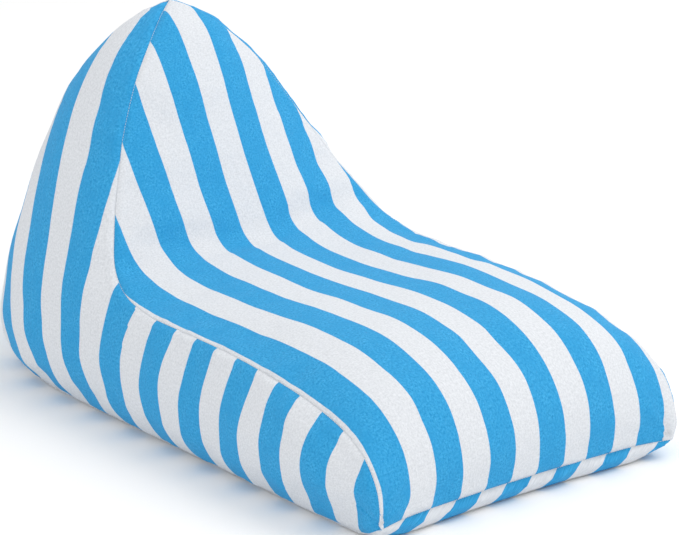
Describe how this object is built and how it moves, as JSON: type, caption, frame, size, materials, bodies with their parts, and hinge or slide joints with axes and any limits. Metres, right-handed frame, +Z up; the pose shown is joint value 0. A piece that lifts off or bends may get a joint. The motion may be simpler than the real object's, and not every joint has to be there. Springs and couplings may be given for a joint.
{
  "type": "bean bag chair",
  "caption": "Child's bean bag lounge chair: long low seat rising to a pointed backrest, striped canvas cover over a liner of beads, with a zip up the back.",
  "frame": {"origin": "middle of the footprint, on the floor", "axes": "+Z up, +Y towards the backrest, +X to the sitter's left"},
  "size_m": [0.6484, 1.0877, 0.58],
  "materials": {
    "striped_canvas": "matte printed cotton canvas, wide light blue and white stripes",
    "liner_fabric": "plain matte woven polyester",
    "polystyrene_beads": "matte expanded beads",
    "zip_tape": "matte herringbone tape",
    "nylon_coil": "satin nylon",
    "lacquered_metal": "satin white lacquer",
    "label_satin": "blank satin ribbon"
  },
  "bodies": {
    "chair": {"cover_top_panel": "striped_canvas", "cover_left_panel": "striped_canvas", "cover_right_panel": "striped_canvas", "cover_base_panel": "striped_canvas", "bead_liner": "liner_fabric", "bead_fill": "polystyrene_beads", "zip_tape_left": "zip_tape", "zip_tape_right": "zip_tape", "zip_coil_left": "nylon_coil", "zip_coil_right": "nylon_coil", "zip_top_stop": "lacquered_metal", "zip_bottom_stop": "lacquered_metal", "care_label": "label_satin"},
    "slider": {"zip_slider": "lacquered_metal"}
  },
  "joints": [
    {"name": "zip_slide", "type": "slide", "parent": "chair", "child": "slider", "axis": [0, 0, 1], "range_m": [0, 0.212]}
  ]
}
